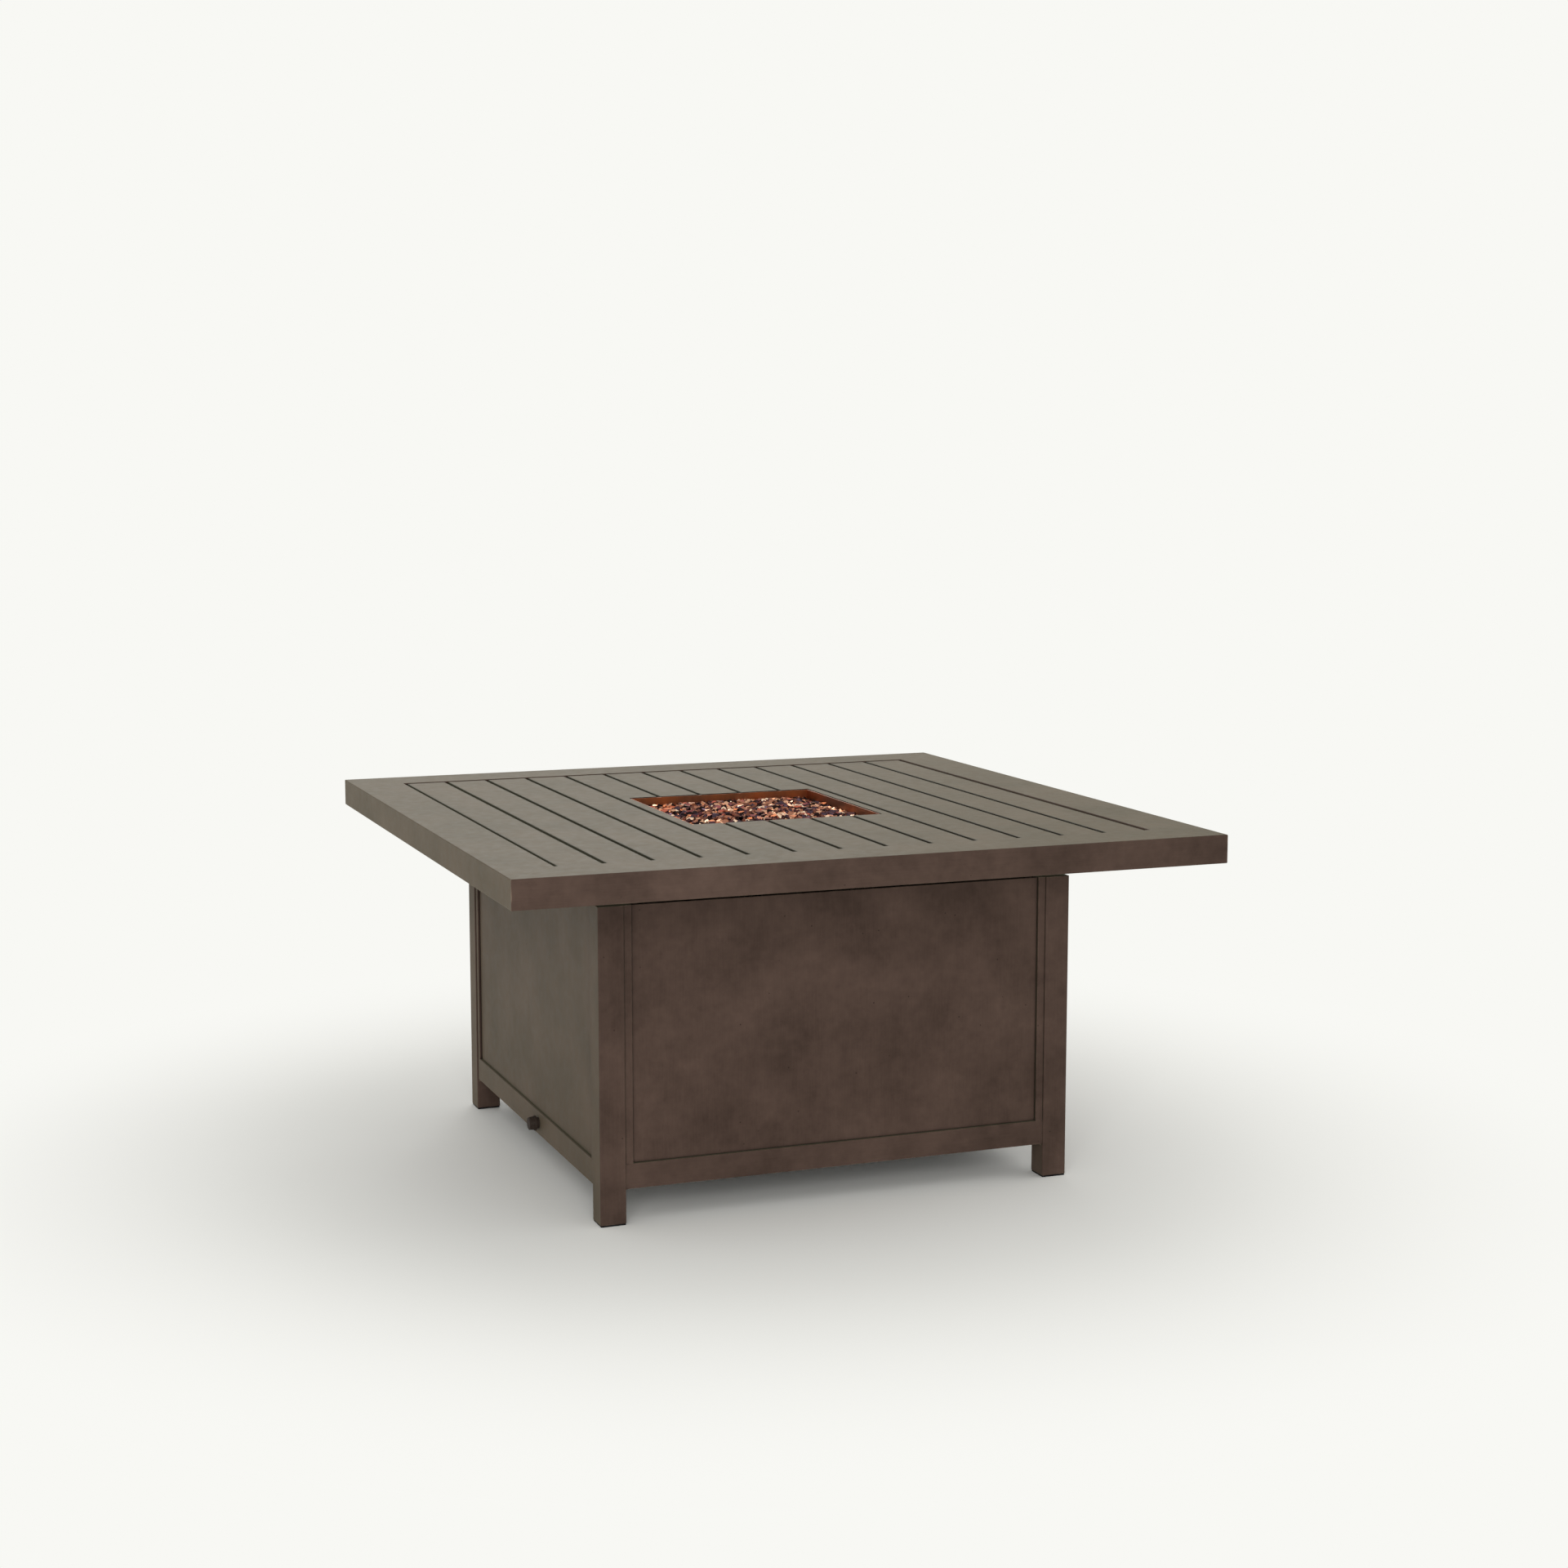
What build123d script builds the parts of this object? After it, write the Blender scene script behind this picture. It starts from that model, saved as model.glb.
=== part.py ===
"""Square slat-top gas fire table on a panelled base.

Millimetres, +Z up. The origin is on the floor, under the middle of the table.
The front is -Y; the control knob is on the left side, -X.
"""
import os

from build123d import *

# Overall sizes
top_width = 1118.0
top_depth = 1118.0
height = 560.0
base_width = 766.0
base_depth = 766.0

# Top frame: box rails with mitred corners
apron_height = 44.0
frame_width = 86.0
frame_wall = 2.5
frame_edge = 1.5

# Slats: channels with their open side down
slat_count = 13
groove_width = 6.0
slat_drop = 1.2
slat_height = 16.0
slat_wall = 2.5
slat_edge = 1.2
slat_end_gap = 1.0
ledge_size = 20.0
ledge_wall = 3.0

# Bearers round the burner opening
opening_size = 322.0
bearer_size = 25.0
bearer_wall = 2.0
bearer_clearance = 3.0

# Burner pan and what hangs under it
pan_clearance = 1.0
pan_wall = 2.0
pan_rim_drop = 1.0
pan_depth = 75.0
flange_width = 26.0
drain_diameter = 8.0
drain_inset = 25.0
shield_size = 330.0
shield_sheet = 1.2
shield_lip = 12.0
shield_drop = 32.0
shield_hole = 60.0
spacer_flats = 12.0
spacer_inset = 40.0

# Square ring burner, folded from square tube
ring_size = 226.0
ring_tube = 16.0
ring_lift = 8.0
hub_diameter = 36.0
hub_height = 26.0
stub_diameter = 21.0
stub_length = 44.0
ports_along = 2
port_diameter = 3.0
port_depth = 4.0
lock_nut_flats = 32.0
lock_nut_height = 8.0

# Fire glass
glass_clearance = 0.5
glass_drop = 12.0
glass_heap = 9.0
glass_crown = 150.0

# Air mixer and orifice
mixer_diameter = 30.0
mixer_length = 80.0
mixer_gap = 6.0
mixer_socket = 30.0
mixer_bore = 24.0
window_width = 12.0
window_height = 26.0
window_lift = 12.0
orifice_flats = 27.0
orifice_hex = 14.0
orifice_spigot = 8.0
boss_diameter = 12.0
boss_length = 14.0

# Legs and glides
leg_size = 40.0
leg_wall = 2.5
leg_edge = 2.0
glide_thickness = 3.0
glide_inset = 1.0
glide_plug = 15.0

# Side frames and panels
face_setback = 2.0
rail_lift = 54.0
rail_height = 38.0
rail_depth = 25.0
rail_wall = 2.0
rail_edge = 1.0
top_rail_height = 38.0
neck_setback = 20.0
weld_radius = 4.0
stile_width = 12.0
stile_wall = 1.5
panel_setback = 4.0
panel_sheet = 1.5
panel_return = 15.0
panel_edge = 1.0
panel_clearance = 0.4
panel_lip = 14.0
magnet_width = 15.0
magnet_height = 40.0
magnet_depth = 8.0
magnet_inset = 50.0

# Top brackets and screws
bracket_leg = 30.0
bracket_wall = 3.0
bracket_width = 24.0
screw_diameter = 5.0
screw_length = 10.0
shank_sides = 8
head_flats = 8.0
head_height = 3.0

# Gas valve, knob and pipe
knob_offset = -40.0
valve_length = 36.0
valve_size = 30.0
valve_edge = 2.0
snout_diameter = 12.0
snout_proud = 4.0
nut_diameter = 18.0
nut_chamfer = 1.0
sleeve_diameter = 9.0
sleeve_length = 12.0
sleeve_setback = 2.0
sleeve_bore_depth = 19.0
stem_diameter = 6.0
stem_room = 3.0
stem_reach = 16.0
stem_grip = 10.0
push_travel = 4.0
push_spare = 0.5
knob_diameter = 24.0
knob_length = 12.0
knob_skirt = 3.0
knob_sides = 12
knob_taper = 4.0
knob_edge = 1.0
knob_recess = 20.0
knob_recess_depth = 5.0
pointer_width = 1.2
pointer_length = 6.0
pointer_depth = 0.6
running_clearance = 0.05
fit_clearance = 0.1
pipe_diameter = 10.0
pipe_bend = 40.0
pipe_riser = 60.0
flare_flats = 19.0
flare_length = 18.0
inlet_tilt = 45.0
inlet_diameter = 15.8
inlet_length = 16.0
inlet_cone = 2.5
inlet_hex = 10.0

# Heights and places worked out from the sizes above
slat_top = height - slat_drop
slat_bottom = slat_top - slat_height
bearer_bottom = slat_bottom - bearer_size
base_top = bearer_bottom
field_width = top_width - 2 * frame_width
field_depth = top_depth - 2 * frame_width
slat_width = (field_width - (slat_count + 1) * groove_width) / slat_count
slat_pitch = slat_width + groove_width
slat_length = field_depth - 2 * slat_end_gap
pan_outer = opening_size - 2 * pan_clearance
pan_inner = pan_outer - 2 * pan_wall
pan_rim = slat_top - pan_rim_drop
pan_floor = pan_rim - pan_depth
bearer_place = opening_size / 2 - pan_clearance + bearer_clearance + bearer_size / 2
shield_floor = pan_floor - shield_drop
mixer_top = pan_floor - lock_nut_height - mixer_gap
mixer_foot = mixer_top - mixer_length
orifice_foot = mixer_foot - orifice_hex
boss_foot = orifice_foot - boss_length
rail_top = rail_lift + rail_height
leg_top = base_top - top_rail_height
rail_centre = face_setback + rail_depth / 2
neck_centre = neck_setback + rail_depth / 2
bracket_corner = base_width / 2 - neck_setback - rail_depth
knob_height = rail_lift + rail_height / 2
rail_face = base_width / 2 - face_setback
valve_back = -rail_face + rail_depth
snout_front = -rail_face - snout_proud
knob_back = -rail_face - push_travel - push_spare
screw_hole = screw_diameter + 2 * fit_clearance

SIDES = {"front": (0, -1), "right": (1, 0), "back": (0, 1), "left": (-1, 0)}

os.makedirs("parts", exist_ok=True)


def save(piece, name):
    """Label one finished piece and write it."""
    piece.label = name
    export_step(piece, f"parts/{name}.step")


def along(side):
    """Direction along a side, to the right as seen from outside."""
    nx, ny = SIDES[side]
    return (-ny, nx, 0)


def half_and_length(side, width, depth):
    """Distance of a side from the middle, and its length."""
    if side in ("front", "back"):
        return depth / 2, width
    return width / 2, depth


def plan_plane(side, level):
    """Level plane with x along the side and y inward from the middle of the table."""
    return Plane(origin=(0, 0, level), x_dir=along(side), z_dir=(0, 0, 1))


def face_plane(side, setback):
    """Upright plane of the base: x along the side, y up, z outward."""
    half, _ = half_and_length(side, base_width, base_depth)
    nx, ny = SIDES[side]
    place = (nx * (half - setback), ny * (half - setback), 0)
    return Plane(origin=place, x_dir=along(side), z_dir=(nx, ny, 0))


def run_plane(side, setback, level, length):
    """Plane across a bar that runs along a side, at the bar's left end: x outward."""
    half, _ = half_and_length(side, base_width, base_depth)
    nx, ny = SIDES[side]
    ax, ay, _ = along(side)
    start = (nx * (half - setback) - ax * length / 2, ny * (half - setback) - ay * length / 2, level)
    return Plane(origin=start, x_dir=(nx, ny, 0), z_dir=(ax, ay, 0))


def tube(plane, width, depth, length, wall, edge, capped):
    """Rectangular tube, centred on the plane and drawn along its normal; its far end may be capped."""
    with BuildPart() as bar:
        with BuildSketch(plane):
            RectangleRounded(width, depth, edge)
        extrude(amount=length)
        with BuildSketch(plane):
            Rectangle(width - 2 * wall, depth - 2 * wall)
        extrude(amount=length - wall if capped else length, mode=Mode.SUBTRACT)
    return bar.part


def screw(plane):
    """Hex-head screw: the head's underside lies on the plane, the shank runs along its normal."""
    with BuildPart() as fastener:
        with BuildSketch(plane):
            RegularPolygon(head_flats / 2, 6, major_radius=False)
        extrude(amount=-head_height)
        with BuildSketch(plane):
            RegularPolygon(screw_diameter / 2, shank_sides)
        extrude(amount=screw_length)
    return fastener.part


def group(pieces):
    """Separate solids that share one node."""
    return Compound(children=pieces)


# Top frame
def frame_rail(side):
    """Mitred box rail of the top."""
    half, length = half_and_length(side, top_width, top_depth)
    end = length / 2
    inner_end = end - frame_width
    with BuildPart() as rail:
        with BuildSketch(plan_plane(side, height - apron_height)):
            with BuildLine():
                Polyline(
                    (-end, -half),
                    (end, -half),
                    (inner_end, frame_width - half),
                    (-inner_end, frame_width - half),
                    close=True,
                )
            make_face()
        extrude(amount=apron_height)
        long_edges = rail.edges().filter_by(Axis((0, 0, 0), along(side)))
        fillet(long_edges, frame_edge)
        with BuildSketch(plan_plane(side, height - apron_height + frame_wall)):
            with BuildLine():
                Polyline(
                    (frame_wall - end, frame_wall - half),
                    (end - frame_wall, frame_wall - half),
                    (inner_end + frame_wall, frame_width - frame_wall - half),
                    (-inner_end - frame_wall, frame_width - frame_wall - half),
                    close=True,
                )
            make_face()
        extrude(amount=apron_height - 2 * frame_wall, mode=Mode.SUBTRACT)
    return rail.part


for side in SIDES:
    save(frame_rail(side), f"top_frame_{side}")

# Slats
for number in range(1, slat_count + 1):
    slat_x = (number - (slat_count + 1) / 2) * slat_pitch
    with BuildPart() as slat:
        with BuildSketch(Plane.XZ.offset(-slat_length / 2)):
            with Locations((slat_x, slat_top - slat_height / 2)):
                Rectangle(slat_width, slat_height)
            with Locations((slat_x, slat_bottom)):
                Rectangle(
                    slat_width - 2 * slat_wall,
                    slat_height - slat_wall,
                    align=(Align.CENTER, Align.MIN),
                    mode=Mode.SUBTRACT,
                )
        extrude(amount=slat_length)
        fillet(slat.edges().filter_by(Axis.Y).group_by(Axis.Z)[-1], slat_edge)
        if abs(slat_x) - slat_width / 2 < opening_size / 2:
            with Locations((0, 0, slat_bottom)):
                Box(
                    opening_size,
                    opening_size,
                    2 * slat_height,
                    align=(Align.CENTER, Align.CENTER, Align.MIN),
                    mode=Mode.SUBTRACT,
                )
    save(slat.part, f"slat_{number:02d}")

# Ledges that carry the slat ends
ledges = []
for side in ("front", "back"):
    half, _ = half_and_length(side, top_width, top_depth)
    ledge_y = frame_width - half
    with BuildPart() as ledge:
        with BuildSketch(plan_plane(side, slat_bottom)):
            with Locations((0, ledge_y)):
                Rectangle(field_width, ledge_size, align=(Align.CENTER, Align.MIN))
        extrude(amount=-ledge_wall)
        with BuildSketch(plan_plane(side, slat_bottom)):
            with Locations((0, ledge_y)):
                Rectangle(field_width, ledge_wall, align=(Align.CENTER, Align.MIN))
        extrude(amount=-ledge_size)
    ledges.append(ledge.part)
save(group(ledges), "slat_ledges")


# Bearers, each drilled from below for a pan screw
def bearer(side, length):
    """Square tube beside the burner opening, with a screw hole in its lower wall."""
    ax, ay, _ = along(side)
    nx, ny = SIDES[side]
    middle = (nx * bearer_place, ny * bearer_place, bearer_bottom + bearer_size / 2)
    start = (middle[0] - ax * length / 2, middle[1] - ay * length / 2, middle[2])
    with BuildPart() as bar:
        with BuildSketch(Plane(origin=start, x_dir=(nx, ny, 0), z_dir=(ax, ay, 0))):
            Rectangle(bearer_size, bearer_size)
            Rectangle(
                bearer_size - 2 * bearer_wall, bearer_size - 2 * bearer_wall, mode=Mode.SUBTRACT
            )
        extrude(amount=length)
        with BuildSketch(plan_plane(side, bearer_bottom)):
            with Locations((0, -bearer_place)):
                Circle(screw_hole / 2)
        extrude(amount=bearer_wall, mode=Mode.SUBTRACT)
    return bar.part


short_bearer = 2 * bearer_place - bearer_size
save(bearer("front", field_width), "bearer_front")
save(bearer("back", field_width), "bearer_back")
side_bearers = [bearer(side, short_bearer) for side in ("left", "right")]
save(group(side_bearers), "bearers_side")

# Burner pan, hung under the bearers by its flange
flange_outer = pan_outer + 2 * flange_width
pan_screw_places = [(nx * bearer_place, ny * bearer_place) for nx, ny in SIDES.values()]
with BuildPart() as burner_pan:
    with BuildSketch(Plane.XY.offset(pan_floor)):
        Rectangle(pan_outer, pan_outer)
    extrude(amount=pan_depth)
    with BuildSketch(Plane.XY.offset(bearer_bottom - pan_wall)):
        Rectangle(flange_outer, flange_outer)
        with Locations(pan_screw_places):
            Circle(screw_hole / 2, mode=Mode.SUBTRACT)
    extrude(amount=pan_wall)
    with BuildSketch(Plane.XY.offset(pan_floor + pan_wall)):
        Rectangle(pan_inner, pan_inner)
    extrude(amount=pan_depth, mode=Mode.SUBTRACT)
    with BuildSketch(Plane.XY.offset(pan_floor)):
        Circle(stub_diameter / 2 + fit_clearance)
        with GridLocations(pan_inner - 2 * drain_inset, pan_inner - 2 * drain_inset, 2, 2):
            Circle(drain_diameter / 2)
    extrude(amount=pan_wall, mode=Mode.SUBTRACT)
save(burner_pan.part, "burner_pan")

flange_under = bearer_bottom - pan_wall
pan_screws = [screw(Plane(origin=(x, y, flange_under))) for x, y in pan_screw_places]
save(group(pan_screws), "pan_screws")


# Burner: hub on the pan floor, cross bar, square ring, and a stub through the floor
def burner_form(extra, whole):
    """The burner with its ports and stub, or with extra the room that the glass leaves round it."""
    hub_foot = pan_floor + pan_wall
    ring_foot = hub_foot + ring_lift
    hole = ring_size - 2 * ring_tube
    with BuildPart() as form:
        with BuildSketch(Plane.XY.offset(ring_foot - extra)):
            Rectangle(ring_size + 2 * extra, ring_size + 2 * extra)
            Rectangle(hole - 2 * extra, hole - 2 * extra, mode=Mode.SUBTRACT)
            Rectangle(ring_size, ring_tube + 2 * extra)
        extrude(amount=ring_tube + 2 * extra)
        with BuildSketch(Plane.XY.offset(hub_foot)):
            Circle(hub_diameter / 2 + extra)
        extrude(amount=hub_height + extra)
        if whole:
            with BuildSketch(Plane.XY.offset(hub_foot)):
                Circle(stub_diameter / 2)
            extrude(amount=-stub_length)
            port_row = ring_size / 2 - ring_tube / 2
            port_pitch = hole / ports_along
            with BuildSketch(Plane.XY.offset(ring_foot + ring_tube)):
                with GridLocations(2 * port_row, port_pitch, 2, ports_along):
                    Circle(port_diameter / 2)
                with GridLocations(port_pitch, 2 * port_row, ports_along, 2):
                    Circle(port_diameter / 2)
            extrude(amount=-port_depth, mode=Mode.SUBTRACT)
    return form.part


save(burner_form(0, True), "burner_ring")

with BuildPart() as lock_nut:
    with BuildSketch(Plane.XY.offset(pan_floor)):
        RegularPolygon(lock_nut_flats / 2, 6, major_radius=False)
        Circle(stub_diameter / 2 + fit_clearance, mode=Mode.SUBTRACT)
    extrude(amount=-lock_nut_height)
save(lock_nut.part, "burner_lock_nut")

# Fire glass, heaped in the middle and filled in round the burner
bed_size = pan_inner - 2 * glass_clearance
bed_edge = slat_top - glass_drop
glass_room = burner_form(glass_clearance, False)
with BuildPart() as fire_glass:
    with BuildSketch(Plane.XY.offset(pan_floor + pan_wall)):
        Rectangle(bed_size, bed_size)
    extrude(amount=bed_edge - pan_floor - pan_wall)
    slope = (bed_size - glass_crown) / 2
    with Locations((0, 0, bed_edge)):
        Wedge(
            bed_size,
            glass_heap,
            bed_size,
            slope,
            slope,
            bed_size - slope,
            bed_size - slope,
            rotation=(90, 0, 0),
            align=(Align.CENTER, Align.MIN, Align.CENTER),
        )
    add(glass_room, mode=Mode.SUBTRACT)
save(fire_glass.part, "fire_glass")

# Heat shield under the pan
with BuildPart() as heat_shield:
    with BuildSketch(Plane.XY.offset(shield_floor - shield_sheet)):
        Rectangle(shield_size, shield_size)
    extrude(amount=shield_lip)
    with BuildSketch(Plane.XY.offset(shield_floor)):
        Rectangle(shield_size - 2 * shield_sheet, shield_size - 2 * shield_sheet)
    extrude(amount=shield_lip, mode=Mode.SUBTRACT)
    with BuildSketch(Plane.XY.offset(shield_floor)):
        Circle(shield_hole / 2)
    extrude(amount=-shield_sheet, mode=Mode.SUBTRACT)
save(heat_shield.part, "heat_shield")

spacers = []
spacer_place = shield_size / 2 - spacer_inset
for sx in (-1, 1):
    for sy in (-1, 1):
        with BuildPart() as spacer:
            with BuildSketch(Plane(origin=(sx * spacer_place, sy * spacer_place, shield_floor))):
                RegularPolygon(spacer_flats / 2, 6, major_radius=False)
            extrude(amount=pan_floor - shield_floor)
        spacers.append(spacer.part)
save(group(spacers), "heat_shield_spacers")

# Air mixer: socket on the burner stub, four air windows, orifice in its foot
with BuildPart() as air_mixer:
    with BuildSketch(Plane.XY.offset(mixer_foot)):
        Circle(mixer_diameter / 2)
    extrude(amount=mixer_length)
    with BuildSketch(Plane.XY.offset(mixer_top)):
        Circle(stub_diameter / 2 + fit_clearance)
    extrude(amount=-mixer_length, mode=Mode.SUBTRACT)
    with BuildSketch(Plane.XY.offset(mixer_foot)):
        Circle(mixer_bore / 2)
    extrude(amount=mixer_length - mixer_socket, mode=Mode.SUBTRACT)
    window_level = mixer_foot + window_lift + window_height / 2
    for plane in (Plane.XZ, Plane.YZ):
        with BuildSketch(plane):
            with Locations((0, window_level)):
                Rectangle(window_width, window_height)
        extrude(amount=mixer_diameter, both=True, mode=Mode.SUBTRACT)
save(air_mixer.part, "air_mixer")

with BuildPart() as orifice:
    with BuildSketch(Plane.XY.offset(orifice_foot)):
        RegularPolygon(orifice_flats / 2, 6, major_radius=False)
    extrude(amount=orifice_hex)
    with BuildSketch(Plane.XY.offset(mixer_foot)):
        Circle(mixer_bore / 2 - fit_clearance)
    extrude(amount=orifice_spigot)
    with BuildSketch(Plane.XY.offset(orifice_foot)):
        Circle(boss_diameter / 2)
    extrude(amount=-boss_length)
save(orifice.part, "orifice_fitting")

# Legs and their glides
glides = []
for leg_name, sx, sy in (
    ("front_left", -1, -1),
    ("front_right", 1, -1),
    ("back_left", -1, 1),
    ("back_right", 1, 1),
):
    leg_x = sx * (base_width - leg_size) / 2
    leg_y = sy * (base_depth - leg_size) / 2
    foot = Plane(origin=(leg_x, leg_y, glide_thickness))
    leg = tube(foot, leg_size, leg_size, leg_top - glide_thickness, leg_wall, leg_edge, True)
    save(leg, f"leg_{leg_name}")
    plug_size = leg_size - 2 * leg_wall - 2 * fit_clearance
    flange_size = leg_size - 2 * glide_inset
    with BuildPart() as glide:
        with BuildSketch(foot):
            Rectangle(flange_size, flange_size)
        extrude(amount=-glide_thickness)
        with BuildSketch(foot):
            Rectangle(plug_size, plug_size)
        extrude(amount=glide_plug)
    glides.append(glide.part)
save(group(glides), "foot_glides")

# Side frames of the base: bottom rails with welded corners, a set-back neck of top rails, and stiles
stiles = []
for side in SIDES:
    _, side_length = half_and_length(side, base_width, base_depth)
    rail_length = side_length - 2 * leg_size
    bottom_plane = run_plane(side, rail_centre, rail_lift + rail_height / 2, rail_length)
    with BuildPart() as bottom_rail:
        add(tube(bottom_plane, rail_depth, rail_height, rail_length, rail_wall, rail_edge, False))
        for end in (-1, 1):
            corner_x = end * rail_length / 2
            weld_centre = (corner_x - end * weld_radius, rail_lift - weld_radius)
            with BuildSketch(face_plane(side, face_setback + rail_edge)):
                with Locations((corner_x, rail_lift)):
                    Rectangle(2 * weld_radius, 2 * weld_radius)
                with Locations((corner_x + end * weld_radius, rail_lift)):
                    Rectangle(2 * weld_radius, 2 * weld_radius, mode=Mode.SUBTRACT)
                with Locations(weld_centre):
                    Circle(weld_radius, mode=Mode.SUBTRACT)
            extrude(amount=2 * rail_edge - rail_depth)
        if side == "left":
            with BuildSketch(face_plane(side, face_setback)):
                with Locations((-knob_offset, knob_height)):
                    Circle(snout_diameter / 2 + fit_clearance)
            extrude(amount=-rail_depth, mode=Mode.SUBTRACT)
    save(bottom_rail.part, f"bottom_rail_{side}")

    neck_length = side_length - 2 * face_setback
    if side in ("left", "right"):
        neck_length = side_length - 2 * (neck_setback + rail_depth)
    top_plane = run_plane(side, neck_centre, base_top - top_rail_height / 2, neck_length)
    with BuildPart() as top_rail:
        with BuildSketch(top_plane):
            Rectangle(rail_depth, top_rail_height)
        extrude(amount=neck_length)
        with BuildSketch(top_plane.offset(rail_wall)):
            Rectangle(rail_depth - 2 * rail_wall, top_rail_height - 2 * rail_wall)
        extrude(amount=neck_length - 2 * rail_wall, mode=Mode.SUBTRACT)
        if side in ("left", "right"):
            with BuildSketch(face_plane(side, neck_setback + rail_depth)):
                with Locations(
                    (-bearer_place, base_top - bracket_leg / 2),
                    (bearer_place, base_top - bracket_leg / 2),
                ):
                    Circle(screw_hole / 2)
            extrude(amount=rail_wall, mode=Mode.SUBTRACT)
    save(top_rail.part, f"top_rail_{side}")

    for end in (-1, 1):
        stile_x = end * (rail_length - stile_width) / 2
        stile_foot = face_plane(side, rail_centre).from_local_coords((stile_x, rail_top, 0))
        stile_plane = Plane(origin=stile_foot, x_dir=along(side), z_dir=(0, 0, 1))
        stile_height = leg_top - rail_top
        outward = Axis((0, 0, 0), (*SIDES[side], 0))
        with BuildPart() as stile:
            with BuildSketch(stile_plane):
                Rectangle(stile_width, rail_depth)
            extrude(amount=stile_height)
            fillet(stile.edges().filter_by(Axis.Z).sort_by(outward)[-2:], rail_edge)
            with BuildSketch(stile_plane):
                Rectangle(stile_width - 2 * stile_wall, rail_depth - 2 * stile_wall)
            extrude(amount=stile_height - stile_wall, mode=Mode.SUBTRACT)
        stiles.append(stile.part)
save(group(stiles), "panel_stiles")


# Panels: folded trays between the stiles
def panel(side, low, high, removable):
    """Sheet tray with its edges folded inward; a removable one has side lips and an open top to grip."""
    _, side_length = half_and_length(side, base_width, base_depth)
    width = side_length - 2 * (leg_size + stile_width + panel_clearance)
    tall = high - low
    with BuildPart() as tray:
        with BuildSketch(face_plane(side, face_setback + panel_setback)):
            with Locations((0, (low + high) / 2)):
                Rectangle(width, tall)
        extrude(amount=-panel_return)
        nx, ny = SIDES[side]
        front_face = tray.faces().filter_by(Axis((0, 0, 0), (nx, ny, 0)))
        fillet(front_face.sort_by(Axis((0, 0, 0), (nx, ny, 0)))[-1].edges(), panel_edge)
        with BuildSketch(face_plane(side, face_setback + panel_setback + panel_sheet)):
            with Locations((0, low + panel_sheet)):
                Rectangle(
                    width - 2 * panel_sheet,
                    tall if removable else tall - 2 * panel_sheet,
                    align=(Align.CENTER, Align.MIN),
                )
        extrude(amount=-panel_return, mode=Mode.SUBTRACT)
        if removable:
            lip_x = (width - panel_lip) / 2
            lip_setback = face_setback + panel_setback + panel_return
            with BuildSketch(face_plane(side, lip_setback)):
                with Locations((-lip_x, (low + high) / 2), (lip_x, (low + high) / 2)):
                    Rectangle(panel_lip, tall)
            extrude(amount=panel_sheet)
    return tray.part


panel_low = rail_top + panel_clearance
panel_high = leg_top - panel_clearance
for side in ("left", "right", "back"):
    save(panel(side, panel_low, panel_high, False), f"panel_{side}")
save(panel("front", panel_low, panel_high, True), "access_panel")

# Magnetic catches on the front stiles, behind the lips of the access panel
magnets = []
magnet_setback = face_setback + panel_setback + panel_return + panel_clearance
magnet_x = base_width / 2 - leg_size - stile_width - magnet_width / 2
for sx in (-1, 1):
    for magnet_z in (panel_low + magnet_inset, panel_high - magnet_inset):
        with BuildPart() as magnet:
            with BuildSketch(face_plane("front", magnet_setback)):
                with Locations((sx * magnet_x, magnet_z)):
                    Rectangle(magnet_width, magnet_height)
            extrude(amount=-magnet_depth)
        magnets.append(magnet.part)
save(group(magnets), "panel_magnets")

# Angle brackets welded under the bearers and screwed to the side rails of the neck
brackets = []
bracket_screws = []
for sx in (-1, 1):
    for sy in (-1, 1):
        corner_x = sx * bracket_corner
        with BuildPart() as bracket:
            with BuildSketch(Plane(origin=(corner_x, sy * bearer_place, base_top))):
                with Locations((-sx * bracket_leg / 2, 0)):
                    Rectangle(bracket_leg, bracket_width)
            extrude(amount=-bracket_wall)
            seat = (corner_x - sx * bracket_wall, sy * bearer_place, base_top - bracket_leg / 2)
            with BuildSketch(Plane(origin=seat, x_dir=(0, 1, 0), z_dir=(sx, 0, 0))):
                Rectangle(bracket_width, bracket_leg)
                Circle(screw_hole / 2, mode=Mode.SUBTRACT)
            extrude(amount=bracket_wall)
        brackets.append(bracket.part)
        bracket_screws.append(screw(Plane(origin=seat, z_dir=(sx, 0, 0))))
save(group(brackets), "top_brackets")
save(group(bracket_screws), "bracket_screws")

# Gas valve behind the left bottom rail, turned for its tilted inlet; its snout passes through the rail
inlet_way = Vector(0, 1, 0).rotate(Axis.X, -inlet_tilt)
valve_plane = Plane(origin=(valve_back, knob_offset, knob_height), x_dir=inlet_way, z_dir=(1, 0, 0))
snout_length = valve_back - snout_front
stem_end = valve_back + stem_reach
with BuildPart() as valve_body:
    with BuildSketch(valve_plane):
        RectangleRounded(valve_size, valve_size, valve_edge)
    extrude(amount=valve_length)
    with BuildSketch(valve_plane):
        Circle(snout_diameter / 2)
    extrude(amount=-snout_length)
    with BuildSketch(valve_plane.offset(valve_length)):
        Circle(boss_diameter / 2)
    extrude(amount=boss_length)
    with BuildSketch(valve_plane.offset(-snout_length)):
        Circle(sleeve_diameter / 2 + running_clearance)
    extrude(amount=sleeve_bore_depth, mode=Mode.SUBTRACT)
    with BuildSketch(valve_plane.offset(-snout_length)):
        Circle(stem_diameter / 2 + running_clearance)
    extrude(amount=snout_length + stem_reach + push_travel + stem_room, mode=Mode.SUBTRACT)
save(valve_body.part, "valve_body")

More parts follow.
